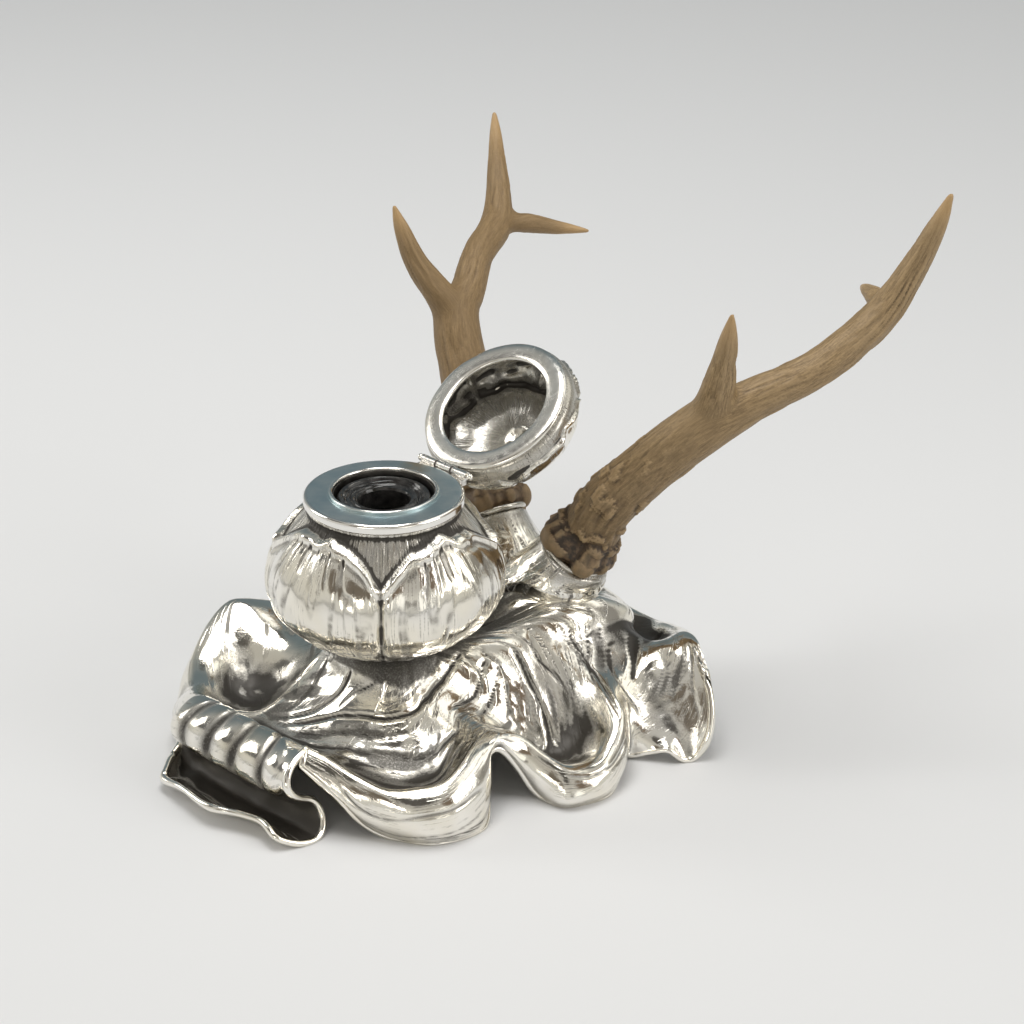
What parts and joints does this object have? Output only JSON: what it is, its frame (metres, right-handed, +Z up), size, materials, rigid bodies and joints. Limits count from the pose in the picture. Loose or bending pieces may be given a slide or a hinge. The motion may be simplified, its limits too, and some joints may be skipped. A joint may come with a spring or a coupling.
{
  "type": "inkwell",
  "caption": "Table inkwell: lidded bud-shaped well with a lift-out glass liner on a cast drapery base, with antlers behind that serve as pen rests.",
  "frame": {"origin": "middle of the overall footprint, on the table plane the hem stands on", "axes": "+Z up, -Y towards the writer (the long roll at the front), +X to the writer's right"},
  "size_m": [0.2633, 0.2987, 0.2264],
  "materials": {
    "chased_silver": "polished silver, chased, with dark oxidised hollows",
    "polished_silver": "polished silver",
    "collar_silver": "satin silver, blue-grey with a faint golden stain",
    "dark_silver": "tarnished silver",
    "antler": "natural brown antler, grooved, paler and smooth at the tips",
    "steel": "plain steel",
    "brass": "plain brass",
    "cork": "cork",
    "glass": "clear glass, ink-darkened inside"
  },
  "bodies": {
    "stand": {"drapery_base": "chased_silver", "left_socket_rim": "polished_silver", "right_socket_rim": "polished_silver", "left_antler": "antler", "right_antler": "antler", "left_antler_stud": "steel", "right_antler_stud": "steel", "left_antler_washer": "steel", "right_antler_washer": "steel", "left_antler_nut": "brass", "right_antler_nut": "brass", "bowl_shell": "chased_silver", "bowl_screw": "steel", "bowl_washer": "steel", "bowl_nut": "brass", "well_collar": "collar_silver", "well_bezel": "polished_silver", "well_sleeve": "dark_silver", "cork_pad": "cork", "hinge_leaf_fixed": "polished_silver", "hinge_pin": "polished_silver"},
    "lid": {"hinge_leaf_lid": "polished_silver", "lid_ring": "polished_silver", "lid_dome": "chased_silver"},
    "ink_pot": {"glass_liner": "glass"}
  },
  "joints": [
    {"name": "lid_hinge", "type": "hinge", "parent": "stand", "child": "lid", "pos_m": [0.0025, -0.0205, 0.1162], "axis": [1, 0, 0], "range_deg": [0, 144.4]},
    {"name": "liner", "type": "slide", "parent": "stand", "child": "ink_pot", "axis": [0, 0, 1], "range_m": [0, 0.016]}
  ]
}
